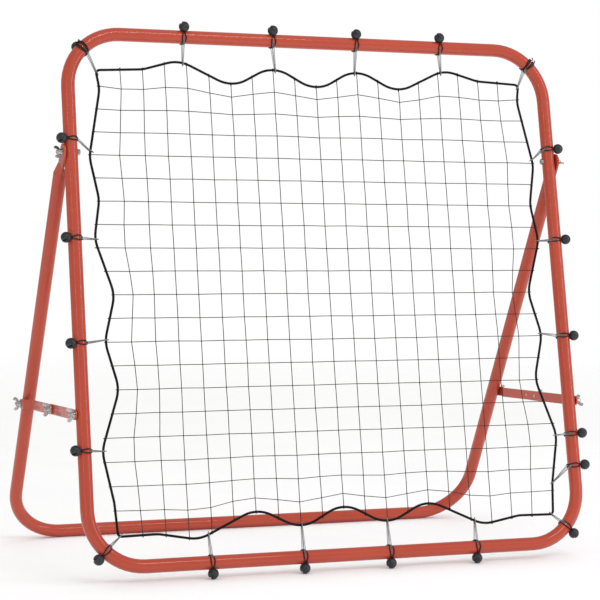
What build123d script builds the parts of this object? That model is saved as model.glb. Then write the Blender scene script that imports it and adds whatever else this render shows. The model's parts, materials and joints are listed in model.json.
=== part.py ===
from build123d import *
import math
import os

# Ball rebounder: a sprung net in a tilted tube hoop, propped by a folding U-shaped stand.
# Millimetres. +Z up, +Y to the back, the player stands on the -Y side.
# The origin is on the floor, in the middle of the object's width and depth.

# ---- tubes ----
tube_r = 12.0
tube_wall = 1.2
hoop_size = 936.0
corner_r = 98.0
hoop_tilt = 10.88

# ---- rear stand ----
leg_length = 828.0
flat_thickness = 3.5
flat_width = 30.0
flat_end = 26.0
squeeze_length = 16.0
pivot_height = 720.0
side_gap = 0.1

# ---- bungee balls and cords ----
ball_r = 9.5
ball_gap = 0.3
ball_seat = 1.8
ball_notch_depth = 4.2
ball_notch_width = 3.2
elastic_r = 1.3
stretched_r = 0.9
elastic_spread = 2.5
elastic_gap = 0.9
ball_side_angle = 32.0
stretch_front = 125.0
stretch_back = -150.0
hook_gap = 0.55
corner_hook_gap = 2.4
ball_lean_top = 35.0
ball_lean_side = 28.0
ball_lean_bottom = 15.0
ball_lean_behind = -62.0
outer_hook = 255.0
outer_post = 253.0
inner_post = 82.0
twine_sidestep = 2.2
side_hook_x = 436.0
extra_hook_x = 428.0
upper_side_hook = 744.0
middle_side_hook = 566.0
bottom_side_hook = 198.0
post_sidestep = 1.0

# ---- net ----
mesh_pitch = 41.35
mesh_count = 20
twine = 1.5
rope_r = 2.2
rope_bend = 60.0
rope_corner_bend = 7.0
push_rounds = 60

# ---- stay bars ----
bar_width = 18.0
bar_thickness = 2.5
front_stay_height = 261.5
rear_stay_height = 302.0
front_bar_reach = 160.0
spare_hole_step = 41.0
layer_gap = 0.2
front_bar_overlap = 13.0
joggle_start = 22.0
joggle_end = 46.0
slide_slot_travel = 16.2
slide_slot_width = 8.8
slide_slot_drop = 1.1
slide_slot_end = 0.6

# ---- fasteners ----
screw_r = 3.0
running_r = 3.08
clear_r = 3.3
washer_r = 7.0
middle_washer_r = 9.0
washer_thickness = 1.2
head_r = 5.5
head_height = 4.0
hub_base_r = 5.6
hub_top_r = 4.4
hub_height = 6.5
wing_thickness = 2.4
wing_reach = 12.5
wing_height = 12.0
screw_tail = 2.5
press_depth = 3.0

# ---- derived frame geometry ----
tilt = math.radians(hoop_tilt)
half_hoop = hoop_size / 2
net_middle = hoop_size / 2
ball_offset = tube_r + ball_gap + ball_r - ball_seat
lean = math.radians(ball_lean_bottom)
ball_drop = ball_offset * (math.cos(lean) * math.cos(tilt) - math.sin(lean) * math.sin(tilt))
ball_front = ball_offset * (math.cos(lean) * math.sin(tilt) + math.sin(lean) * math.cos(tilt))
hoop_z = ball_drop + ball_r
pivot_z = hoop_z + pivot_height * math.cos(tilt)
leg_lean = math.acos((pivot_z - tube_r) / leg_length)
depth = pivot_height * math.sin(tilt) + leg_length * math.sin(leg_lean)
hoop_y = (ball_front + ball_r - depth - tube_r) / 2
rear_y = hoop_y + depth
pivot_y = hoop_y + pivot_height * math.sin(tilt)
leg_x = half_hoop + tube_r + side_gap + flat_thickness / 2
tube_face_x = half_hoop + tube_r
leg_face_x = leg_x + tube_r

hoop_plane = Plane(
    origin=(0, hoop_y, hoop_z), x_dir=(1, 0, 0), z_dir=(0, -math.cos(tilt), math.sin(tilt))
)
leg_plane = Plane(
    origin=(0, rear_y, tube_r), x_dir=(1, 0, 0), z_dir=(0, -math.cos(leg_lean), -math.sin(leg_lean))
)

front_stay = hoop_plane.from_local_coords(Vector(0, front_stay_height, 0))
rear_stay = leg_plane.from_local_coords(Vector(0, rear_stay_height, 0))
stay_direction = (rear_stay - front_stay).normalized()
stay_span = (rear_stay - front_stay).length
middle_stay = front_stay + stay_direction * front_bar_reach

front_bar_x = tube_face_x + side_gap
rear_bar_x = front_bar_x + bar_thickness + layer_gap
rear_bar_outer_x = leg_face_x + layer_gap

# ---- net outline, right half, in the hoop's plane: x to the right, y up from the bottom tube ----
top_wave = [(0, 852), (82, 881), (163, 853), (262, 889), (330, 874)]
side_wave = [
    (412, 835), (434, 712), (422, 636), (431, 566), (404, 468),
    (421, 386), (404, 304), (435, 198), (420, 110),
]
bottom_wave = [(345, 53), (272, 43), (163, 83), (82, 56), (0, 84)]
net_corners = [(414, 867), (414, 54)]
top_hook_y = 892.0
bottom_hook_y = 44.0

os.makedirs("parts", exist_ok=True)


def save(piece, name):
    """Label one finished piece and write it as its own STEP file."""
    piece.label = name
    export_step(piece, "parts/" + name + ".step")


def side_plane(point, x_position, side, x_dir):
    """A plane facing outward from the object's side at x_position, with a chosen local x."""
    return Plane(origin=(side * x_position, point.Y, point.Z), x_dir=x_dir, z_dir=(side, 0, 0))


# ---- front hoop ----
with BuildPart() as front_frame:
    with BuildLine(hoop_plane) as hoop_line:
        FilletPolyline(
            (-half_hoop, 0), (half_hoop, 0), (half_hoop, hoop_size), (-half_hoop, hoop_size),
            radius=corner_r, close=True,
        )
    with BuildSketch(Plane(origin=hoop_line.line @ 0, z_dir=hoop_line.line % 0)):
        Circle(tube_r)
    sweep(path=hoop_line.line)
    with BuildSketch(Plane(origin=hoop_line.line @ 0, z_dir=hoop_line.line % 0)):
        Circle(tube_r - tube_wall)
    sweep(path=hoop_line.line, mode=Mode.SUBTRACT)
    # Holes for the two pivot bolts, through both walls.
    for side in (-1, 1):
        hole_start = hoop_plane.from_local_coords(Vector(side * (half_hoop - 2 * tube_r), pivot_height, 0))
        with BuildSketch(Plane(origin=hole_start, z_dir=(side, 0, 0))):
            Circle(clear_r)
        extrude(amount=4 * tube_r, mode=Mode.SUBTRACT)
        # The weld hole for the stay stud goes through the outer wall only.
        stud_start = hoop_plane.from_local_coords(Vector(side * half_hoop, front_stay_height, 0))
        with BuildSketch(Plane(origin=stud_start, z_dir=(side, 0, 0))):
            Circle(screw_r)
        extrude(amount=2 * tube_r, mode=Mode.SUBTRACT)
save(front_frame.part, "front_frame")


# ---- rear stand ----
def leg_section(height, side):
    """A plane across the leg at a height along it."""
    centre = leg_plane.from_local_coords(Vector(side * leg_x, height, 0))
    return Plane(origin=centre, x_dir=(1, 0, 0), z_dir=leg_plane.y_dir)


flat_base = leg_length - flat_end
round_top = flat_base - squeeze_length
with BuildPart() as rear_frame:
    with BuildLine(leg_plane) as stand_line:
        FilletPolyline(
            (-leg_x, round_top), (-leg_x, 0), (leg_x, 0), (leg_x, round_top), radius=corner_r
        )
    with BuildSketch(Plane(origin=stand_line.line @ 0, z_dir=stand_line.line % 0)):
        Circle(tube_r)
    sweep(path=stand_line.line)
    for side in (-1, 1):
        # Each leg's end is squeezed from a round tube to a flat ear.
        with BuildSketch(leg_section(round_top, side)):
            RectangleRounded(2 * tube_r, 2 * tube_r, tube_r - 0.5)
        with BuildSketch(leg_section(round_top + squeeze_length / 2, side)):
            RectangleRounded(1.15 * tube_r, 0.9 * flat_width, tube_r / 2)
        with BuildSketch(leg_section(flat_base, side)):
            RectangleRounded(flat_thickness, flat_width, 0.45 * flat_thickness)
        loft()
        ear = leg_plane.from_local_coords(Vector(0, leg_length, 0))
        ear_plane = side_plane(ear, leg_x - flat_thickness / 2, side, leg_plane.y_dir)
        with BuildSketch(ear_plane):
            Circle(flat_width / 2)
            with Locations((-flat_end / 2, 0)):
                Rectangle(flat_end, flat_width)
        extrude(amount=flat_thickness)
    with BuildSketch(Plane(origin=stand_line.line @ 0, z_dir=stand_line.line % 0)):
        Circle(tube_r - tube_wall)
    sweep(path=stand_line.line, mode=Mode.SUBTRACT)
    for side in (-1, 1):
        with BuildSketch(Plane(origin=(side * (leg_x - tube_r), ear.Y, ear.Z), z_dir=(side, 0, 0))):
            Circle(running_r)
        extrude(amount=2 * tube_r, mode=Mode.SUBTRACT)
        with BuildSketch(Plane(origin=(side * leg_x, rear_stay.Y, rear_stay.Z), z_dir=(side, 0, 0))):
            Circle(screw_r)
        extrude(amount=2 * tube_r, mode=Mode.SUBTRACT)
save(rear_frame.part, "rear_frame")


# ---- net border rope ----
def mirrored(points):
    """The same points on the left half, in the opposite order."""
    return [(-x, y) for x, y in reversed(points)]


def pushed_out(points, bends):
    """Corner points for which each rounded bend passes through its given point."""
    corners = list(points)
    for _ in range(push_rounds):
        moved = []
        for i, (point, bend) in enumerate(zip(points, bends)):
            before = Vector(*corners[i - 1]) - Vector(*corners[i])
            after = Vector(*corners[(i + 1) % len(corners)]) - Vector(*corners[i])
            half_angle = math.radians(before.get_angle(after)) / 2
            inward = (before.normalized() + after.normalized()).normalized()
            push = bend * (1 / math.sin(half_angle) - 1)
            moved.append((point[0] - inward.X * push, point[1] - inward.Y * push))
        corners = [((p[0] + q[0]) / 2, (p[1] + q[1]) / 2) for p, q in zip(corners, moved)]
    return corners


right_side = top_wave[1:] + net_corners[:1] + side_wave + net_corners[1:] + bottom_wave[:-1]
outline = top_wave[:1] + right_side + bottom_wave[-1:] + mirrored(right_side)
outline_bends = [rope_corner_bend if (abs(x), y) in net_corners else rope_bend for x, y in outline]
outline_corners = pushed_out(outline, outline_bends)

with BuildPart() as net_border_rope:
    with BuildLine(hoop_plane) as rope_line:
        FilletPolyline(*outline_corners, radius=outline_bends, close=True)
    with BuildSketch(Plane(origin=rope_line.line @ 0, z_dir=rope_line.line % 0)):
        Circle(rope_r)
    sweep(path=rope_line.line)
save(net_border_rope.part, "net_border_rope")


# ---- net: straight twine both ways, trimmed to the inside of the rope ----
net_span = mesh_pitch * (mesh_count + 2)
inner_lines = [k * mesh_pitch for k in range(-mesh_count // 2 + 1, mesh_count // 2)]
with BuildSketch(hoop_plane) as net_field:
    with BuildLine():
        FilletPolyline(*outline_corners, radius=outline_bends, close=True)
    make_face()
    offset(amount=-rope_r - layer_gap, mode=Mode.REPLACE)
with BuildPart() as net:
    with BuildSketch(hoop_plane):
        with Locations(*[(x, net_middle) for x in inner_lines]):
            Rectangle(twine, net_span)
        with Locations(*[(0, net_middle + y) for y in inner_lines]):
            Rectangle(net_span, twine)
        add(net_field.sketch_local, mode=Mode.INTERSECT)
    extrude(amount=twine / 2, both=True)
save(net.part, "net")


# ---- bungees ----
def bungee_frame(post, hook):
    """A plane at the hoop's centre line: local x points away from the net, local y to the player."""
    start = hoop_plane.from_local_coords(Vector(post[0], post[1], 0))
    target = hoop_plane.from_local_coords(Vector(hook[0], hook[1], 0))
    rope_point = Vertex(target).closest_points(rope_line.line)[1]
    away = start - rope_point
    across = away.normalized().cross(hoop_plane.z_dir)
    return Plane(origin=start, x_dir=away.normalized(), z_dir=across), away.length


def on_circle(centre_x, radius, angle):
    """A point on a circle about (centre_x, 0), angle in degrees."""
    turn = math.radians(angle)
    return (centre_x + radius * math.cos(turn), radius * math.sin(turn))


def build_turn(post, hook, ball_lean, shift):
    """One turn of elastic hugging the tube, from one side of the ball round to the other."""
    frame = bungee_frame(post, hook)[0]
    wrap_r = tube_r + elastic_r + elastic_gap
    with BuildPart() as turn:
        with BuildLine(frame.offset(shift)) as route:
            CenterArc((0, 0), wrap_r, ball_lean + ball_side_angle, 360 - 2 * ball_side_angle)
        with BuildSketch(Plane(origin=route.line @ 0, z_dir=route.line % 0)):
            Circle(elastic_r)
        sweep(path=route.line)
    return turn.part


def build_stretch(post, hook, rope_gap):
    """The thin stretched loop: from the tube's net side round the rope and back to the tube."""
    frame, span = bungee_frame(post, hook)
    start_r = tube_r + elastic_gap + stretched_r
    hook_r = rope_r + stretched_r + rope_gap
    front_start = on_circle(0, start_r, stretch_front)
    back_end = on_circle(0, start_r, stretch_back)
    front_reach = math.hypot(front_start[0] + span, front_start[1])
    back_reach = math.hypot(back_end[0] + span, back_end[1])
    front_turn = math.atan2(front_start[1], front_start[0] + span) + math.acos(hook_r / front_reach)
    back_turn = math.atan2(back_end[1], back_end[0] + span) - math.acos(hook_r / back_reach)
    rope_front = on_circle(-span, hook_r, math.degrees(front_turn))
    rope_back = on_circle(-span, hook_r, math.degrees(back_turn))
    with BuildPart() as stretch:
        with BuildLine(frame) as route:
            Line(front_start, rope_front)
            ThreePointArc(rope_front, (-span - hook_r, 0), rope_back)
            Line(rope_back, back_end)
        with BuildSketch(Plane(origin=route.line @ 0, z_dir=route.line % 0)):
            Circle(stretched_r)
        sweep(path=route.line)
    return stretch.part


def build_ball(post, hook, ball_lean, notch_turn, name):
    """A ball with a flat seat on the tube side and a deep slot in the side set by notch_turn."""
    frame = bungee_frame(post, hook)[0]
    centre = frame.from_local_coords(Vector(*on_circle(0, ball_offset, ball_lean), 0))
    toward = (centre - frame.origin).normalized()
    ball_plane = Plane(origin=centre, x_dir=frame.z_dir, z_dir=toward)
    turn = math.radians(notch_turn)
    sideways = ball_plane.x_dir * math.cos(turn) + ball_plane.y_dir * math.sin(turn)
    notch_dir = (toward + sideways).normalized()
    notch_plane = Plane(origin=centre, x_dir=(toward - sideways).normalized(), z_dir=notch_dir)
    with BuildPart() as ball:
        with BuildSketch(Plane(origin=centre, x_dir=toward, z_dir=frame.z_dir)):
            with BuildLine():
                ThreePointArc((-ball_r, 0), (0, ball_r), (ball_r, 0))
                Line((ball_r, 0), (-ball_r, 0))
            make_face()
        revolve(axis=Axis(centre, toward))
        with BuildSketch(ball_plane.offset(ball_seat - ball_r)):
            Circle(ball_r)
        extrude(amount=-ball_r, mode=Mode.SUBTRACT)
        with BuildSketch(notch_plane.offset(ball_r - ball_notch_depth)):
            Rectangle(ball_notch_width, 2 * ball_r)
        extrude(amount=ball_r, mode=Mode.SUBTRACT)
    save(ball.part, name)


inner_hook = 2 * mesh_pitch - twine_sidestep
hook_columns = [(-outer_post, -outer_hook), (-inner_post, -inner_hook)]
hook_columns += [(-x, -hook) for x, hook in reversed(hook_columns)]
top_bungees = [((x, hoop_size), (hook, top_hook_y)) for x, hook in hook_columns]
bottom_bungees = [((x, 0), (hook, bottom_hook_y)) for x, hook in hook_columns]
low_hook = net_middle - 2 * mesh_pitch + twine_sidestep
extra_hook = net_middle - 8 * mesh_pitch + twine_sidestep
side_heights = [
    (upper_side_hook - post_sidestep, upper_side_hook),
    (middle_side_hook + post_sidestep, middle_side_hook),
    (low_hook - twine_sidestep - post_sidestep, low_hook),
    (bottom_side_hook + post_sidestep, bottom_side_hook),
]
left_bungees = [((-half_hoop, post), (-side_hook_x, hook)) for post, hook in side_heights]
right_bungees = [((half_hoop, post), (side_hook_x, hook)) for post, hook in side_heights]
right_bungees.append(((half_hoop, extra_hook + post_sidestep), (extra_hook_x, extra_hook)))

corner_reach = half_hoop - corner_r * (1 - math.cos(math.radians(45)))
corner_low = corner_r * (1 - math.sin(math.radians(45)))
corner_high = hoop_size - corner_low
corner_x, corner_top_y = net_corners[0]
corner_bottom_y = net_corners[1][1]
top_corner_bungees = [((s * corner_reach, corner_high), (s * corner_x, corner_top_y)) for s in (-1, 1)]
bottom_corner_bungees = [((s * corner_reach, corner_low), (s * corner_x, corner_bottom_y)) for s in (-1, 1)]

# Name, bungees, ball's lean, gap at the rope, the side of the ball's slot, and the turns' places.
two_turns = [-elastic_spread, elastic_spread]
bungee_sets = [
    ("top", top_bungees, ball_lean_top, hook_gap, 180, two_turns),
    ("left", left_bungees, ball_lean_side, hook_gap, 180, two_turns),
    ("right", right_bungees, ball_lean_side, hook_gap, 90, two_turns),
    ("bottom", bottom_bungees, ball_lean_bottom, hook_gap, 0, two_turns),
    ("bottom_corner", bottom_corner_bungees, ball_lean_bottom, corner_hook_gap, 0, two_turns),
    ("top_corner", top_corner_bungees, ball_lean_behind, corner_hook_gap, 90, two_turns),
]
for set_name, bungees, ball_lean, rope_gap, notch_turn, turns in bungee_sets:
    strands = []
    for number, (post, hook) in enumerate(bungees, start=1):
        build_ball(post, hook, ball_lean, notch_turn, "bungee_ball_" + set_name + "_" + str(number))
        strands.append(build_stretch(post, hook, rope_gap))
        for shift in turns:
            strands.append(build_turn(post, hook, ball_lean, shift))
    save(Compound(children=strands), "bungee_cords_" + set_name)


# ---- stay bars ----
def build_front_bar(side):
    """The flat bar on the hoop, with the middle stud pressed through its far end."""
    bar_plane = side_plane(front_stay, front_bar_x, side, stay_direction)
    with BuildPart() as bar:
        with BuildSketch(bar_plane):
            with Locations(((front_bar_reach + front_bar_overlap) / 2, 0)):
                SlotCenterToCenter(front_bar_reach + front_bar_overlap, bar_width)
            Circle(running_r, mode=Mode.SUBTRACT)
            with Locations((front_bar_reach, 0)):
                Circle(screw_r, mode=Mode.SUBTRACT)
        extrude(amount=bar_thickness)
    return bar.part


def build_rear_bar(side):
    """The cranked bar on the stand's leg: a hole at the leg, a spare hole and the middle slide slot."""
    rear_reach = stay_span - front_bar_reach
    toward_front = -stay_direction
    drop = rear_bar_outer_x - rear_bar_x
    edge_plane = Plane(
        origin=(side * rear_bar_x, rear_stay.Y, rear_stay.Z),
        x_dir=toward_front,
        z_dir=toward_front.cross(Vector(side, 0, 0)),
    )
    face_plane = side_plane(rear_stay, rear_bar_x - bar_thickness, side, toward_front)
    down = 1 if face_plane.y_dir.Z < 0 else -1
    with BuildPart() as bar:
        with BuildSketch(edge_plane):
            with BuildLine():
                Polyline(
                    (-bar_width, drop), (joggle_start, drop), (joggle_end, 0), (rear_reach + bar_width, 0),
                    (rear_reach + bar_width, bar_thickness), (joggle_end, bar_thickness),
                    (joggle_start, drop + bar_thickness), (-bar_width, drop + bar_thickness), close=True,
                )
            make_face()
        extrude(amount=bar_width / 2, both=True)
        with BuildSketch(face_plane):
            with Locations((rear_reach / 2, 0)):
                SlotCenterToCenter(rear_reach, bar_width)
        extrude(amount=2 * tube_r, mode=Mode.INTERSECT)
        with BuildSketch(face_plane):
            Circle(running_r)
            with Locations((rear_reach - spare_hole_step, 0)):
                Circle(clear_r)
            slot_middle = rear_reach + slide_slot_end - slide_slot_travel / 2
            with Locations((slot_middle, down * slide_slot_drop)):
                SlotCenterToCenter(slide_slot_travel, slide_slot_width)
        extrude(amount=2 * tube_r, mode=Mode.SUBTRACT)
    return bar.part


# ---- screws, washers and wing nuts ----
def build_stud(point, start_x, end_x, side):
    """A plain round screw shank along X."""
    with BuildPart() as stud:
        with BuildSketch(Plane(origin=(side * start_x, point.Y, point.Z), z_dir=(side, 0, 0))):
            Circle(screw_r)
        extrude(amount=end_x - start_x)
        chamfer(stud.faces().sort_by(Axis.X)[-1 if side > 0 else 0].edges(), length=0.6)
    return stud.part


def build_pivot_bolt(point, end_x, side):
    """The pivot bolt, its round head against the hoop's inner side."""
    head_face_x = half_hoop - tube_r - side_gap
    with BuildPart() as bolt:
        with BuildSketch(Plane(origin=(side * head_face_x, point.Y, point.Z), z_dir=(side, 0, 0))):
            Circle(screw_r)
        extrude(amount=end_x - head_face_x)
        with BuildSketch(Plane(origin=(side * head_face_x, point.Y, point.Z), z_dir=(-side, 0, 0))):
            RegularPolygon(head_r, 6)
        extrude(amount=head_height)
    return bolt.part


def build_washer(point, start_x, side, outer_r=washer_r):
    """A flat washer."""
    with BuildPart() as washer:
        with BuildSketch(Plane(origin=(side * start_x, point.Y, point.Z), z_dir=(side, 0, 0))):
            Circle(outer_r)
            Circle(clear_r, mode=Mode.SUBTRACT)
        extrude(amount=washer_thickness)
    return washer.part


def build_wing_nut(point, start_x, side, wing_angle):
    """A wing nut; wing_angle is the wings' turn about X from straight up."""
    turn = math.radians(wing_angle)
    wing_dir = Vector(0, math.sin(turn), math.cos(turn))
    seat = Plane(origin=(side * start_x, point.Y, point.Z), x_dir=wing_dir, z_dir=(side, 0, 0))
    wing_plane = Plane(origin=seat.origin, x_dir=seat.x_dir, z_dir=-seat.y_dir)
    with BuildPart() as nut:
        with BuildSketch(seat):
            Circle(hub_base_r)
        with BuildSketch(seat.offset(hub_height)):
            Circle(hub_top_r)
        loft()
        with BuildSketch(wing_plane):
            with BuildLine():
                Spline(
                    (0, 1.0), (hub_base_r, 1.6), (wing_reach - 1, 5.5), (wing_reach, 9.5),
                    (wing_reach - 3.5, wing_height), (hub_base_r + 0.5, 8.2), (0, hub_height - 0.4),
                )
                Line((0, hub_height - 0.4), (0, 1.0))
            make_face()
            mirror(about=Plane.YZ)
        extrude(amount=wing_thickness / 2, both=True)
        with BuildSketch(seat.offset(-1)):
            Circle(running_r)
        extrude(amount=wing_height + 2, mode=Mode.SUBTRACT)
    return nut.part


pivot = Vector(0, pivot_y, pivot_z)
ear_face_x = leg_x + flat_thickness / 2
pivot_washer_x = ear_face_x + layer_gap
frame_washer_x = front_bar_x + bar_thickness + layer_gap
middle_washer_x = rear_bar_x + bar_thickness + layer_gap
leg_washer_x = rear_bar_outer_x + bar_thickness + layer_gap
nut_offset = washer_thickness + side_gap
screw_past_washer = nut_offset + hub_height + screw_tail

sides = [(-1, "left"), (1, "right")]
pivot_wing_angles = {"left": 35.0, "right": 75.0}
frame_wing_angles = {"left": 20.0, "right": 40.0}
middle_wing_angles = {"left": 20.0, "right": 10.0}
leg_wing_angles = {"left": 20.0, "right": 10.0}

pivot_washers = []
frame_studs = []
frame_washers = []
leg_studs = []
leg_washers = []
for side, side_name in sides:
    save(build_pivot_bolt(pivot, pivot_washer_x + screw_past_washer, side), "pivot_bolt_" + side_name)
    pivot_washers.append(build_washer(pivot, pivot_washer_x, side))
    pivot_nut = build_wing_nut(pivot, pivot_washer_x + nut_offset, side, pivot_wing_angles[side_name])
    save(pivot_nut, "pivot_wing_nut_" + side_name)

    save(build_front_bar(side), "front_stay_bar_" + side_name)
    save(build_rear_bar(side), "rear_stay_bar_" + side_name)

    stud_root = tube_face_x - press_depth
    frame_studs.append(build_stud(front_stay, stud_root, frame_washer_x + screw_past_washer, side))
    frame_washers.append(build_washer(front_stay, frame_washer_x, side))
    frame_nut = build_wing_nut(front_stay, frame_washer_x + nut_offset, side, frame_wing_angles[side_name])
    save(frame_nut, "frame_wing_nut_" + side_name)

    middle_stud = build_stud(middle_stay, front_bar_x, middle_washer_x + screw_past_washer, side)
    save(middle_stud, "middle_stud_" + side_name)
    middle_washer = build_washer(middle_stay, middle_washer_x, side, middle_washer_r)
    save(middle_washer, "middle_washer_" + side_name)
    middle_nut_x = middle_washer_x + nut_offset
    middle_nut = build_wing_nut(middle_stay, middle_nut_x, side, middle_wing_angles[side_name])
    save(middle_nut, "middle_wing_nut_" + side_name)

    leg_studs.append(build_stud(rear_stay, leg_face_x - press_depth, leg_washer_x + screw_past_washer, side))
    leg_washers.append(build_washer(rear_stay, leg_washer_x, side))
    leg_nut = build_wing_nut(rear_stay, leg_washer_x + nut_offset, side, leg_wing_angles[side_name])
    save(leg_nut, "leg_wing_nut_" + side_name)

save(Compound(children=pivot_washers), "pivot_washers")
save(Compound(children=frame_studs), "frame_studs")
save(Compound(children=frame_washers), "frame_washers")
save(Compound(children=leg_studs), "leg_studs")
save(Compound(children=leg_washers), "leg_washers")
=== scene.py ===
import json
import math
import random

import bpy
from mathutils import Matrix, Vector


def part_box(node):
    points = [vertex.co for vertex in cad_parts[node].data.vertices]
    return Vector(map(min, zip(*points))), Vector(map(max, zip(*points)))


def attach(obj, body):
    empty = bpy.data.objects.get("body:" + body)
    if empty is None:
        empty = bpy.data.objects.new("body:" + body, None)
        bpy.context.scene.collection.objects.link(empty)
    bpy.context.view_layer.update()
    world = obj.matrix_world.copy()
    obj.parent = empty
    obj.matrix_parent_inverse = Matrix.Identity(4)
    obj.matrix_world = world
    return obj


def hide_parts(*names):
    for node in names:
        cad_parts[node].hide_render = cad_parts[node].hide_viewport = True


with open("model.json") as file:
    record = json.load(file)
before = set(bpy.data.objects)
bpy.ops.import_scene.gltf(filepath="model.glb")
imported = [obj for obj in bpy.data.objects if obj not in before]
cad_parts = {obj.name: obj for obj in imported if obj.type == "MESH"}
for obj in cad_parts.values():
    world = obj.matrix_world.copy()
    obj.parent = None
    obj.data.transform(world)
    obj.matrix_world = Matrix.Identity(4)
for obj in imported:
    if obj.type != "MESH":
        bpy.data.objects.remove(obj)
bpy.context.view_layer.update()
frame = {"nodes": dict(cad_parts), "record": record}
random.seed(7)

# Metres. The hoop's plane, the outline of the border rope and every other place is read from the CAD.
TUBE_R = 0.012
MESH_PITCH = 0.04135
MESH_COUNT = 20
TWINE_R = 0.00070
KNOT_R = 0.00155
ROPE_R = 0.0022
CORNER_R = 0.098
BALL_OFFSET = 0.0200
ELASTIC_R = 0.00115
STRETCHED_R = 0.00060
TURN_R = TUBE_R + ELASTIC_R


# ---- the hoop's plane ----
hoop_low, hoop_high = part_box("front_frame")
HOOP_ORIGIN = Vector((0.0, hoop_low.y + TUBE_R, hoop_low.z + TUBE_R))
HOOP_RISE = Vector((0.0, hoop_high.y - hoop_low.y - 2 * TUBE_R, hoop_high.z - hoop_low.z - 2 * TUBE_R))
HOOP_UP = HOOP_RISE.normalized()
HOOP_FRONT = Vector((1.0, 0.0, 0.0)).cross(HOOP_UP)
HOOP_MIDDLE = HOOP_RISE.length / 2


def on_hoop(x, s, out=0.0):
    """The point x to the right and s up the hoop's plane, out towards the player."""
    return HOOP_ORIGIN + Vector((x, 0.0, 0.0)) + HOOP_UP * s + HOOP_FRONT * out


def to_hoop(point):
    """The (x, s) place of a point in the hoop's plane."""
    return point.x, (point - HOOP_ORIGIN).dot(HOOP_UP)


# ---- mesh building ----
def new_piece(name, verts, faces, material, body, smooth=True):
    """A mesh made from points and faces, riding on a CAD body."""
    mesh = bpy.data.meshes.new(name)
    mesh.from_pydata([tuple(v) for v in verts], [], faces)
    mesh.update()
    if smooth:
        mesh.polygons.foreach_set("use_smooth", [True] * len(mesh.polygons))
    mesh.materials.append(material)
    piece = bpy.data.objects.new(name, mesh)
    bpy.context.scene.collection.objects.link(piece)
    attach(piece, body)
    return piece


def add_tube(verts, faces, path, radius, sides=6, closed=False):
    """Adds a round tube along a path to the lists of points and faces."""
    first = len(verts)
    count = len(path)
    normal = None
    for i, point in enumerate(path):
        after = path[(i + 1) % count] if closed or i + 1 < count else point
        before = path[i - 1] if closed or i > 0 else point
        along = (after - before).normalized()
        if normal is None:
            normal = along.orthogonal().normalized()
        normal = (normal - along * normal.dot(along)).normalized()
        across = along.cross(normal)
        for k in range(sides):
            turn = 2 * math.pi * k / sides
            verts.append(point + normal * (radius * math.cos(turn)) + across * (radius * math.sin(turn)))
    for i in range(count if closed else count - 1):
        low = first + i * sides
        high = first + ((i + 1) % count) * sides
        for k in range(sides):
            nxt = (k + 1) % sides
            faces.append((low + k, low + nxt, high + nxt, high + k))
    if not closed:
        faces.append(tuple(first + k for k in reversed(range(sides))))
        faces.append(tuple(first + (count - 1) * sides + k for k in range(sides)))


def add_bead(verts, faces, centre, long_axis, long_r, short_r, rings=4, sides=6):
    """Adds a small closed egg shape, used for a knot."""
    first = len(verts)
    along = long_axis.normalized()
    normal = along.orthogonal().normalized()
    across = along.cross(normal)
    verts.append(centre - along * long_r)
    for i in range(1, rings):
        lift = math.pi * i / rings
        for k in range(sides):
            turn = 2 * math.pi * k / sides
            wide = short_r * math.sin(lift)
            verts.append(
                centre - along * (long_r * math.cos(lift))
                + normal * (wide * math.cos(turn)) + across * (wide * math.sin(turn))
            )
    verts.append(centre + along * long_r)
    last = len(verts) - 1
    for k in range(sides):
        nxt = (k + 1) % sides
        faces.append((first, first + 1 + nxt, first + 1 + k))
        top = first + 1 + (rings - 2) * sides
        faces.append((last, top + k, top + nxt))
        for i in range(rings - 2):
            low = first + 1 + i * sides
            faces.append((low + k, low + nxt, low + sides + nxt, low + sides + k))


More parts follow.
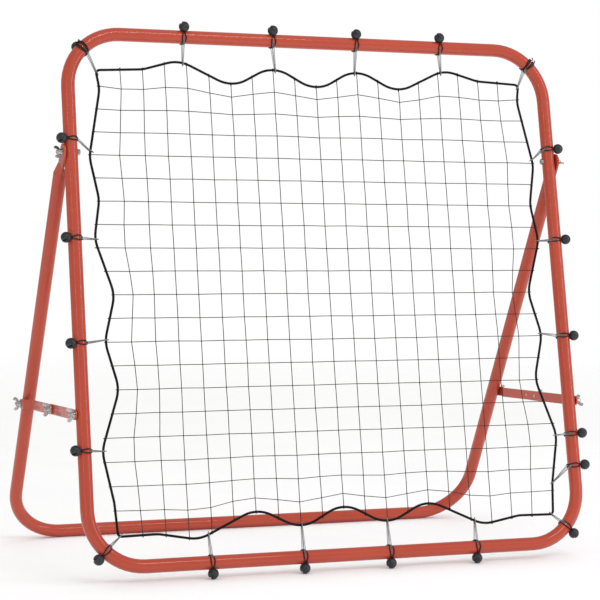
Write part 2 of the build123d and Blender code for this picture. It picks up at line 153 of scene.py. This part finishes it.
# ---- materials ----
class Maker:
    """A short way to lay out a material's nodes."""

    def __init__(self, material):
        material.use_nodes = True
        self.nodes = material.node_tree.nodes
        self.links = material.node_tree.links
        self.nodes.clear()
        self.shader = self.nodes.new("ShaderNodeBsdfPrincipled")
        out = self.nodes.new("ShaderNodeOutputMaterial")
        self.links.new(self.shader.outputs[0], out.inputs[0])
        self.place = self.nodes.new("ShaderNodeTexCoord").outputs["Object"]

    def set(self, **values):
        for name, value in values.items():
            self.shader.inputs[name.replace("_", " ")].default_value = value

    def noise(self, scale, detail=3.0, stretch=(1, 1, 1)):
        mapping = self.nodes.new("ShaderNodeMapping")
        mapping.inputs["Scale"].default_value = stretch
        self.links.new(self.place, mapping.inputs["Vector"])
        noise = self.nodes.new("ShaderNodeTexNoise")
        noise.inputs["Scale"].default_value = scale
        noise.inputs["Detail"].default_value = detail
        self.links.new(mapping.outputs[0], noise.inputs["Vector"])
        return noise.outputs["Fac"]

    def bands(self, scale, direction="DIAGONAL"):
        wave = self.nodes.new("ShaderNodeTexWave")
        wave.bands_direction = direction
        wave.inputs["Scale"].default_value = scale
        wave.inputs["Distortion"].default_value = 1.2
        self.links.new(self.place, wave.inputs["Vector"])
        return wave.outputs["Fac"]

    def remap(self, value, low_in, high_in, low_out, high_out):
        step = self.nodes.new("ShaderNodeMapRange")
        for name, number in (
            ("From Min", low_in), ("From Max", high_in), ("To Min", low_out), ("To Max", high_out),
        ):
            step.inputs[name].default_value = number
        self.links.new(value, step.inputs["Value"])
        return step.outputs[0]

    def colour(self, value, stops):
        ramp = self.nodes.new("ShaderNodeValToRGB")
        points = ramp.color_ramp.elements
        while len(points) < len(stops):
            points.new(0.5)
        for point, (place, shade) in zip(points, stops):
            point.position = place
            point.color = (*shade, 1.0)
        self.links.new(value, ramp.inputs[0])
        self.links.new(ramp.outputs[0], self.shader.inputs["Base Color"])

    def rough(self, value):
        self.links.new(value, self.shader.inputs["Roughness"])

    def bump(self, value, strength, distance):
        bump = self.nodes.new("ShaderNodeBump")
        bump.inputs["Strength"].default_value = strength
        bump.inputs["Distance"].default_value = distance
        self.links.new(value, bump.inputs["Height"])
        self.links.new(bump.outputs[0], self.shader.inputs["Normal"])


def powder_coat(material):
    m = Maker(material)
    m.colour(m.noise(6.0, 4.0), [(0.30, (0.395, 0.048, 0.021)), (0.70, (0.440, 0.058, 0.027))])
    m.rough(m.remap(m.noise(55.0, 5.0), 0.3, 0.7, 0.30, 0.40))
    m.set(Coat_Weight=0.55, Coat_Roughness=0.06, Specular_IOR_Level=0.22)
    m.bump(m.noise(900.0, 2.0), 0.10, 0.0004)


def zinc(material):
    m = Maker(material)
    m.colour(m.noise(420.0, 4.0), [(0.35, (0.40, 0.40, 0.39)), (0.65, (0.66, 0.66, 0.64))])
    m.rough(m.remap(m.noise(700.0, 4.0), 0.3, 0.7, 0.24, 0.46))
    m.set(Metallic=1.0)
    m.bump(m.noise(1500.0, 3.0), 0.18, 0.0002)


def ball_plastic(material):
    m = Maker(material)
    m.colour(m.noise(160.0, 3.0), [(0.35, (0.010, 0.012, 0.015)), (0.65, (0.020, 0.023, 0.028))])
    m.rough(m.remap(m.noise(300.0, 4.0), 0.3, 0.7, 0.32, 0.50))
    m.bump(m.noise(1300.0, 3.0), 0.12, 0.0003)


def woven(material, dark, light, scale, strength):
    m = Maker(material)
    m.colour(m.bands(scale), [(0.25, dark), (0.75, light)])
    m.rough(m.remap(m.noise(1200.0, 3.0), 0.3, 0.7, 0.66, 0.88))
    m.set(Specular_IOR_Level=0.25)
    m.bump(m.bands(scale), strength, 0.0004)


def slot_material(slot, builder):
    """One shared material for every CAD node of a record slot."""
    material = bpy.data.materials.new("look_" + slot)
    builder(material)
    wanted = {p["node"] for p in frame["record"]["subparts"] if p["material_slot"] == slot}
    for node, thing in frame["nodes"].items():
        if node in wanted:
            for place in thing.material_slots:
                place.material = material
            if not thing.material_slots:
                thing.data.materials.append(material)
    return material


slot_material("red_powder_coat", powder_coat)
slot_material("zinc_fastener", zinc)
slot_material("bungee_ball", ball_plastic)
slot_material("bungee_elastic", lambda m: woven(m, (0.010, 0.007, 0.006), (0.040, 0.030, 0.027), 420.0, 0.5))
slot_material("border_rope", lambda m: woven(m, (0.0015, 0.0015, 0.0018), (0.007, 0.007, 0.008), 330.0, 0.8))
twine_look = slot_material(
    "net_twine", lambda m: woven(m, (0.014, 0.014, 0.008), (0.038, 0.037, 0.024), 500.0, 0.5)
)


# ---- the border rope's centre line, read from the CAD rope ----
def rope_outline(steps=720):
    """The rope's centre line as (x, s) points in order round the net's middle."""
    bins = [[] for _ in range(steps)]
    for vertex in frame["nodes"]["net_border_rope"].data.vertices:
        x, s = to_hoop(vertex.co)
        turn = math.atan2(s - HOOP_MIDDLE, x) % (2 * math.pi)
        bins[int(turn / (2 * math.pi) * steps) % steps].append((x, s))
    points = []
    for found in bins:
        if found:
            xs = [p[0] for p in found]
            ss = [p[1] for p in found]
            points.append(((min(xs) + max(xs)) / 2, (min(ss) + max(ss)) / 2))
    return points


outline = rope_outline()


def crossings(level, axis):
    """Where the outline crosses the line with coordinate `axis` equal to level: the lowest and highest."""
    found = []
    for a, b in zip(outline, outline[1:] + outline[:1]):
        if (a[axis] - level) * (b[axis] - level) <= 0 and a[axis] != b[axis]:
            t = (level - a[axis]) / (b[axis] - a[axis])
            found.append(a[1 - axis] + t * (b[1 - axis] - a[1 - axis]))
    return (min(found), max(found)) if found else None


# ---- the knotted net ----
HALF = MESH_COUNT // 2
LINES = [k * MESH_PITCH for k in range(-HALF + 1, HALF)]
BORDER = HALF * MESH_PITCH


def pull(distance):
    """How much of the border's pull is left a distance in from the border."""
    return math.exp(-0.9 * (max(distance, 0.0) / MESH_PITCH) ** 1.2)


columns = {x: crossings(x, 0) for x in LINES}
rows = {s: crossings(HOOP_MIDDLE + s, 1) for s in LINES}


def warped(x, s, row_ends, column_ends):
    """A net point moved with the border: x and s count from the net's middle."""
    left, right = row_ends
    bottom, top = column_ends
    dx = (right - BORDER) * pull(BORDER - x) + (left + BORDER) * pull(BORDER + x)
    ds = (top - HOOP_MIDDLE - BORDER) * pull(BORDER - s) + (bottom - HOOP_MIDDLE + BORDER) * pull(BORDER + s)
    return x + dx, HOOP_MIDDLE + s + ds


knots = {}
for x in LINES:
    for s in LINES:
        px, ps = warped(x, s, rows[s], columns[x])
        loose = 0.00045
        knots[(x, s)] = (px + random.uniform(-loose, loose), ps + random.uniform(-loose, loose))

net_verts, net_faces = [], []


def add_twine(points):
    """One twine through its knots, a little slack between each two."""
    path = []
    for a, b in zip(points, points[1:]):
        for step in range(4):
            t = step / 4
            path.append(a.lerp(b, t) + HOOP_FRONT * (0.0004 * math.sin(math.pi * t)))
    path.append(points[-1])
    add_tube(net_verts, net_faces, path, TWINE_R)


for x in LINES:
    ends = columns[x]
    middle = [on_hoop(*knots[(x, s)]) for s in LINES]
    add_twine([on_hoop(x, ends[0])] + middle + [on_hoop(x, ends[1])])
for s in LINES:
    ends = rows[s]
    middle = [on_hoop(*knots[(x, s)]) for x in LINES]
    add_twine([on_hoop(ends[0], HOOP_MIDDLE + s)] + middle + [on_hoop(ends[1], HOOP_MIDDLE + s)])
for place in knots.values():
    lean = Vector((random.uniform(-1, 1), 0.0, 0.0)) + HOOP_UP * random.uniform(0.4, 1.0)
    add_bead(net_verts, net_faces, on_hoop(*place), lean, KNOT_R, 0.75 * KNOT_R)


def add_loop(place, along):
    """A twine's hitch round the border rope."""
    ring = []
    for k in range(10):
        turn = 2 * math.pi * k / 10
        sideways = along * ((ROPE_R + TWINE_R) * math.cos(turn))
        ring.append(place + sideways + HOOP_FRONT * ((ROPE_R + TWINE_R) * math.sin(turn)))
    add_tube(net_verts, net_faces, ring, TWINE_R, sides=5, closed=True)


for x in LINES:
    for s in columns[x]:
        add_loop(on_hoop(x, s), HOOP_UP)
for s in LINES:
    for x in rows[s]:
        add_loop(on_hoop(x, HOOP_MIDDLE + s), Vector((1.0, 0.0, 0.0)))
knotted_net = new_piece("knotted_net", net_verts, net_faces, twine_look, "hoop")
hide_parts("net")


# ---- bungees: dark turns round the tube, and a thin stretched loop out to the rope ----
def stretched_look(material):
    woven(material, (0.10, 0.10, 0.105), (0.34, 0.34, 0.35), 700.0, 0.4)


def smooth_path(points, steps=7):
    """A smooth line through the points."""
    path = []
    for i in range(len(points) - 1):
        before, a = points[max(i - 1, 0)], points[i]
        b, after = points[i + 1], points[min(i + 2, len(points) - 1)]
        for k in range(steps):
            t = k / steps
            path.append(0.5 * (
                2 * a + (b - before) * t + (2 * before - 5 * a + 4 * b - after) * t * t
                + (3 * a - before - 3 * b + after) * t ** 3
            ))
    path.append(points[-1])
    return path


def nearest_outline(x, s):
    return min(outline, key=lambda p: (p[0] - x) ** 2 + (p[1] - s) ** 2)


def tube_outward(x, s):
    """The direction straight out of the hoop, in its plane, at a place on the tube."""
    inner_x, inner_s = HOOP_MIDDLE - CORNER_R, HOOP_MIDDLE - CORNER_R
    dx = max(abs(x) - inner_x, 0.0)
    ds = max(abs(s - HOOP_MIDDLE) - inner_s, 0.0)
    if dx and ds:
        return Vector((math.copysign(dx, x), math.copysign(ds, s - HOOP_MIDDLE))).normalized()
    if dx:
        return Vector((math.copysign(1.0, x), 0.0))
    return Vector((0.0, math.copysign(1.0, s - HOOP_MIDDLE)))


elastic_look = bpy.data.materials["look_bungee_elastic"]
light_look = bpy.data.materials.new("look_stretched_elastic")
stretched_look(light_look)
BUNGEE_SETS = ("top", "left", "right", "bottom", "bottom_corner", "top_corner")


def bungee_places(set_name):
    """For each ball of a set: the tube's centre, its loop's far end, and the ball's angle round the tube."""
    stem = "bungee_ball_" + set_name + "_"
    balls = sorted(n for n in frame["nodes"] if n.startswith(stem) and n[len(stem):].isdigit())
    centres = []
    for node in balls:
        low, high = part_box(node)
        middle = (low + high) / 2
        centres.append((Vector(to_hoop(middle)), (middle - HOOP_ORIGIN).dot(HOOP_FRONT)))
    ends = [None] * len(centres)
    for vertex in frame["nodes"]["bungee_cords_" + set_name].data.vertices:
        place = Vector(to_hoop(vertex.co))
        near = min(range(len(centres)), key=lambda i: (centres[i][0] - place).length)
        reach = (centres[near][0] - place).length
        if ends[near] is None or reach > ends[near][0]:
            ends[near] = (reach, place)
    places = []
    for (ball, out), (_, end) in zip(centres, ends):
        in_plane = math.sqrt(max(BALL_OFFSET ** 2 - out ** 2, 0.0))
        post = ball - (ball - end).normalized() * in_plane
        places.append((post, end, math.degrees(math.atan2(out, in_plane))))
    return places


def build_bungee(turns, stretched, post, end, lean, widths):
    """One bungee's turns and its stretched loop, added to two sets of points and faces."""
    outward = tube_outward(post.x, post.y)
    radial = Vector((outward.x, 0, 0)) + HOOP_UP * outward.y
    along = radial.cross(HOOP_FRONT)
    centre = on_hoop(post.x, post.y)

    def ring(angle, radius, shift):
        turn = math.radians(angle)
        outward = radial * (radius * math.cos(turn))
        return centre + outward + HOOP_FRONT * (radius * math.sin(turn)) + along * shift

    waist = 168.0
    start, stop = lean + 24.0, lean + 336.0
    for width in widths:
        path = []
        sway = random.uniform(-0.0004, 0.0004)
        for k in range(49):
            angle = start + (stop - start) * k / 48
            lobe = (angle - start) / (waist - start) if angle < waist else (angle - waist) / (stop - waist)
            spread = 0.42 + 0.58 * math.sin(math.pi * lobe) ** 2
            path.append(ring(angle, TURN_R, width * spread + sway * math.sin(math.pi * lobe)))
        add_tube(*turns, path, ELASTIC_R, sides=8)

    rope = Vector(nearest_outline(*end))
    rope_at = on_hoop(*rope)
    net_side = (rope - post).normalized()
    inward = Vector((net_side.x, 0, 0)) + HOOP_UP * net_side.y
    over = ROPE_R + STRETCHED_R
    for side in (-1, 1):
        wide, narrow = side * 0.0013, side * 0.00042
        points = [
            ring(118.0, TURN_R, 1.3 * wide), ring(138.0, TURN_R + 0.0004, wide),
            rope_at - inward * 0.006 + HOOP_FRONT * over + along * (1.6 * narrow),
            rope_at + HOOP_FRONT * over + along * narrow,
            rope_at + inward * (0.0052 + 0.0006 * side),
            rope_at - HOOP_FRONT * over - along * narrow,
            rope_at - inward * 0.006 - HOOP_FRONT * (0.8 * over) - along * (1.6 * narrow),
            ring(192.0, TURN_R + 0.0004, -wide), ring(214.0, TURN_R, -1.3 * wide),
        ]
        add_tube(*stretched, smooth_path(points), STRETCHED_R, sides=6)


def add_curl(turns, post, turn, size):
    """A short free loop of elastic standing out from the tube."""
    outward = tube_outward(post.x, post.y)
    radial = Vector((outward.x, 0, 0)) + HOOP_UP * outward.y
    along = radial.cross(HOOP_FRONT)
    root = on_hoop(post.x, post.y) + along * turn
    points = []
    for k in range(13):
        angle = math.radians(-60 + 300 * k / 12)
        lift = TURN_R + size * (1 - math.cos(angle)) * 0.55
        sideways = along * (size * 0.7 * math.sin(angle))
        points.append(root + radial * lift * 0.93 + HOOP_FRONT * (0.004 + 0.0004 * k) + sideways)
    add_tube(*turns, smooth_path(points, 3), 0.75 * ELASTIC_R, sides=6)


for set_name in BUNGEE_SETS:
    turns, stretched = ([], []), ([], [])
    for post, end, lean in bungee_places(set_name):
        if set_name == "top_corner":
            build_bungee(turns, stretched, post, end, lean, (-0.0066, -0.0030, 0.0024, 0.0058))
            add_curl(turns, post, -0.0030, 0.0032)
            add_curl(turns, post, 0.0035, 0.0026)
        else:
            build_bungee(turns, stretched, post, end, lean, (-0.0036, 0.0036))
    dark = new_piece("bungee_turns_" + set_name, *turns, elastic_look, "hoop")
    light = new_piece("bungee_loops_" + set_name, *stretched, light_look, "hoop")
    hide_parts("bungee_cords_" + set_name)


# ---- floor, light and camera ----
def floor_look(material):
    m = Maker(material)
    m.colour(m.noise(1.5, 4.0), [(0.3, (0.90, 0.90, 0.89)), (0.7, (0.93, 0.93, 0.92))])
    m.rough(m.remap(m.noise(8.0, 3.0), 0.3, 0.7, 0.75, 0.90))
    m.set(Specular_IOR_Level=0.1)
    length = m.nodes.new("ShaderNodeVectorMath")
    length.operation = "LENGTH"
    m.links.new(m.place, length.inputs[0])
    m.links.new(m.remap(length.outputs["Value"], 1.5, 6.0, 1.0, 0.0), m.shader.inputs["Alpha"])


bpy.ops.mesh.primitive_circle_add(vertices=96, radius=6.5, fill_type="NGON", location=(0, 0, 0))
floor = bpy.context.object
floor.name = "floor"
floor_material = bpy.data.materials.new("pale_floor")
floor_look(floor_material)
floor.data.materials.append(floor_material)

WORLD_STRENGTH = 1.0
WORLD_IN_GLOSS = 0.45
world = bpy.data.worlds.new("studio")
bpy.context.scene.world = world
world.use_nodes = True
world.node_tree.nodes["Background"].inputs["Color"].default_value = (1.0, 1.0, 1.0, 1.0)
rays = world.node_tree.nodes.new("ShaderNodeLightPath")
dimmer = world.node_tree.nodes.new("ShaderNodeMapRange")
dimmer.inputs["To Min"].default_value = WORLD_STRENGTH
dimmer.inputs["To Max"].default_value = WORLD_IN_GLOSS
world.node_tree.links.new(rays.outputs["Is Glossy Ray"], dimmer.inputs["Value"])
world.node_tree.links.new(dimmer.outputs[0], world.node_tree.nodes["Background"].inputs["Strength"])


def area_light(name, place, power, width, height, tint, target=Vector((0.0, 0.0, 0.5))):
    lamp = bpy.data.lights.new(name, "AREA")
    lamp.energy = power
    lamp.color = tint
    lamp.shape = "RECTANGLE"
    lamp.size = width
    lamp.size_y = height
    thing = bpy.data.objects.new(name, lamp)
    bpy.context.scene.collection.objects.link(thing)
    thing.location = place
    thing.rotation_euler = (target - Vector(place)).to_track_quat("-Z", "Y").to_euler()


area_light("key_light", (0.6, -3.6, 4.2), 40.0, 2.4, 0.4, (1.0, 0.97, 0.95))
area_light("side_strip", (3.0, -2.4, 1.6), 34.0, 0.45, 3.0, (0.80, 0.72, 1.0))
area_light("left_strip", (-2.9, -2.9, 1.4), 10.0, 0.12, 3.0, (1.0, 0.97, 0.95))

camera = bpy.data.objects.new("camera", bpy.data.cameras.new("camera"))
bpy.context.scene.collection.objects.link(camera)
camera.data.lens = 117.88
camera.data.sensor_width = 36.0
camera.data.shift_x = 0.0004
camera.data.shift_y = -0.0508
camera.data.clip_end = 100.0
view_turn, view_tip, view_roll = math.radians(21.0399), math.radians(-1.0426), math.radians(0.2961)
flat_reach = math.cos(view_tip)
forward = Vector((math.sin(view_turn) * flat_reach, math.cos(view_turn) * flat_reach, math.sin(view_tip)))
level = Vector((math.cos(view_turn), -math.sin(view_turn), 0.0))
upright = level.cross(forward)
right = level * math.cos(view_roll) + upright * math.sin(view_roll)
up = right.cross(forward)
camera.matrix_world = Matrix((
    (right.x, up.x, -forward.x, -1.3242),
    (right.y, up.y, -forward.y, -3.4701),
    (right.z, up.z, -forward.z, 0.5945),
    (0.0, 0.0, 0.0, 1.0),
))
bpy.context.scene.camera = camera
bpy.context.scene.view_settings.view_transform = "Standard"
